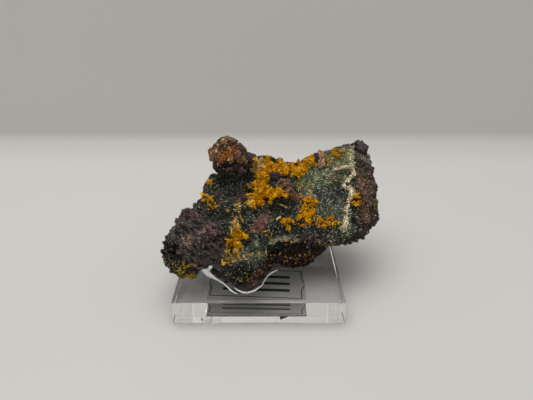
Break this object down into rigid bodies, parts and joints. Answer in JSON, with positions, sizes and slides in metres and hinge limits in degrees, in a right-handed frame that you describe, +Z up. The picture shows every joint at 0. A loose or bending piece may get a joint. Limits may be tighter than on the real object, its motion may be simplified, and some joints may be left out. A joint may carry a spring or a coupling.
{
  "type": "mineral specimen on a clear base",
  "caption": "Lumpy dark stone with orange crystal crusts, glued by its foot on a square clear display block with a card beneath.",
  "frame": {"origin": "centre of the display block's underside", "axes": "+X to the right along the stone's longest extent, +Y to the back, +Z up"},
  "size_m": [0.0549, 0.0403, 0.0364],
  "materials": {
    "stone": "rough, weathered",
    "mimetite": "resinous crystal faces",
    "acrylic": "clear, polished",
    "glue": "clear, smooth",
    "card": "matte"
  },
  "bodies": {
    "root": {"matrix": "stone", "mimetite_crest": "mimetite", "mimetite_right": "mimetite", "mimetite_right_low": "mimetite", "mimetite_centre": "mimetite", "mimetite_left": "mimetite", "mimetite_shoulder": "mimetite", "mimetite_lobe": "mimetite", "mimetite_edge": "mimetite", "mimetite_top": "mimetite", "acrylic_base": "acrylic", "glue_dab": "glue", "label": "card"}
  },
  "joints": []
}
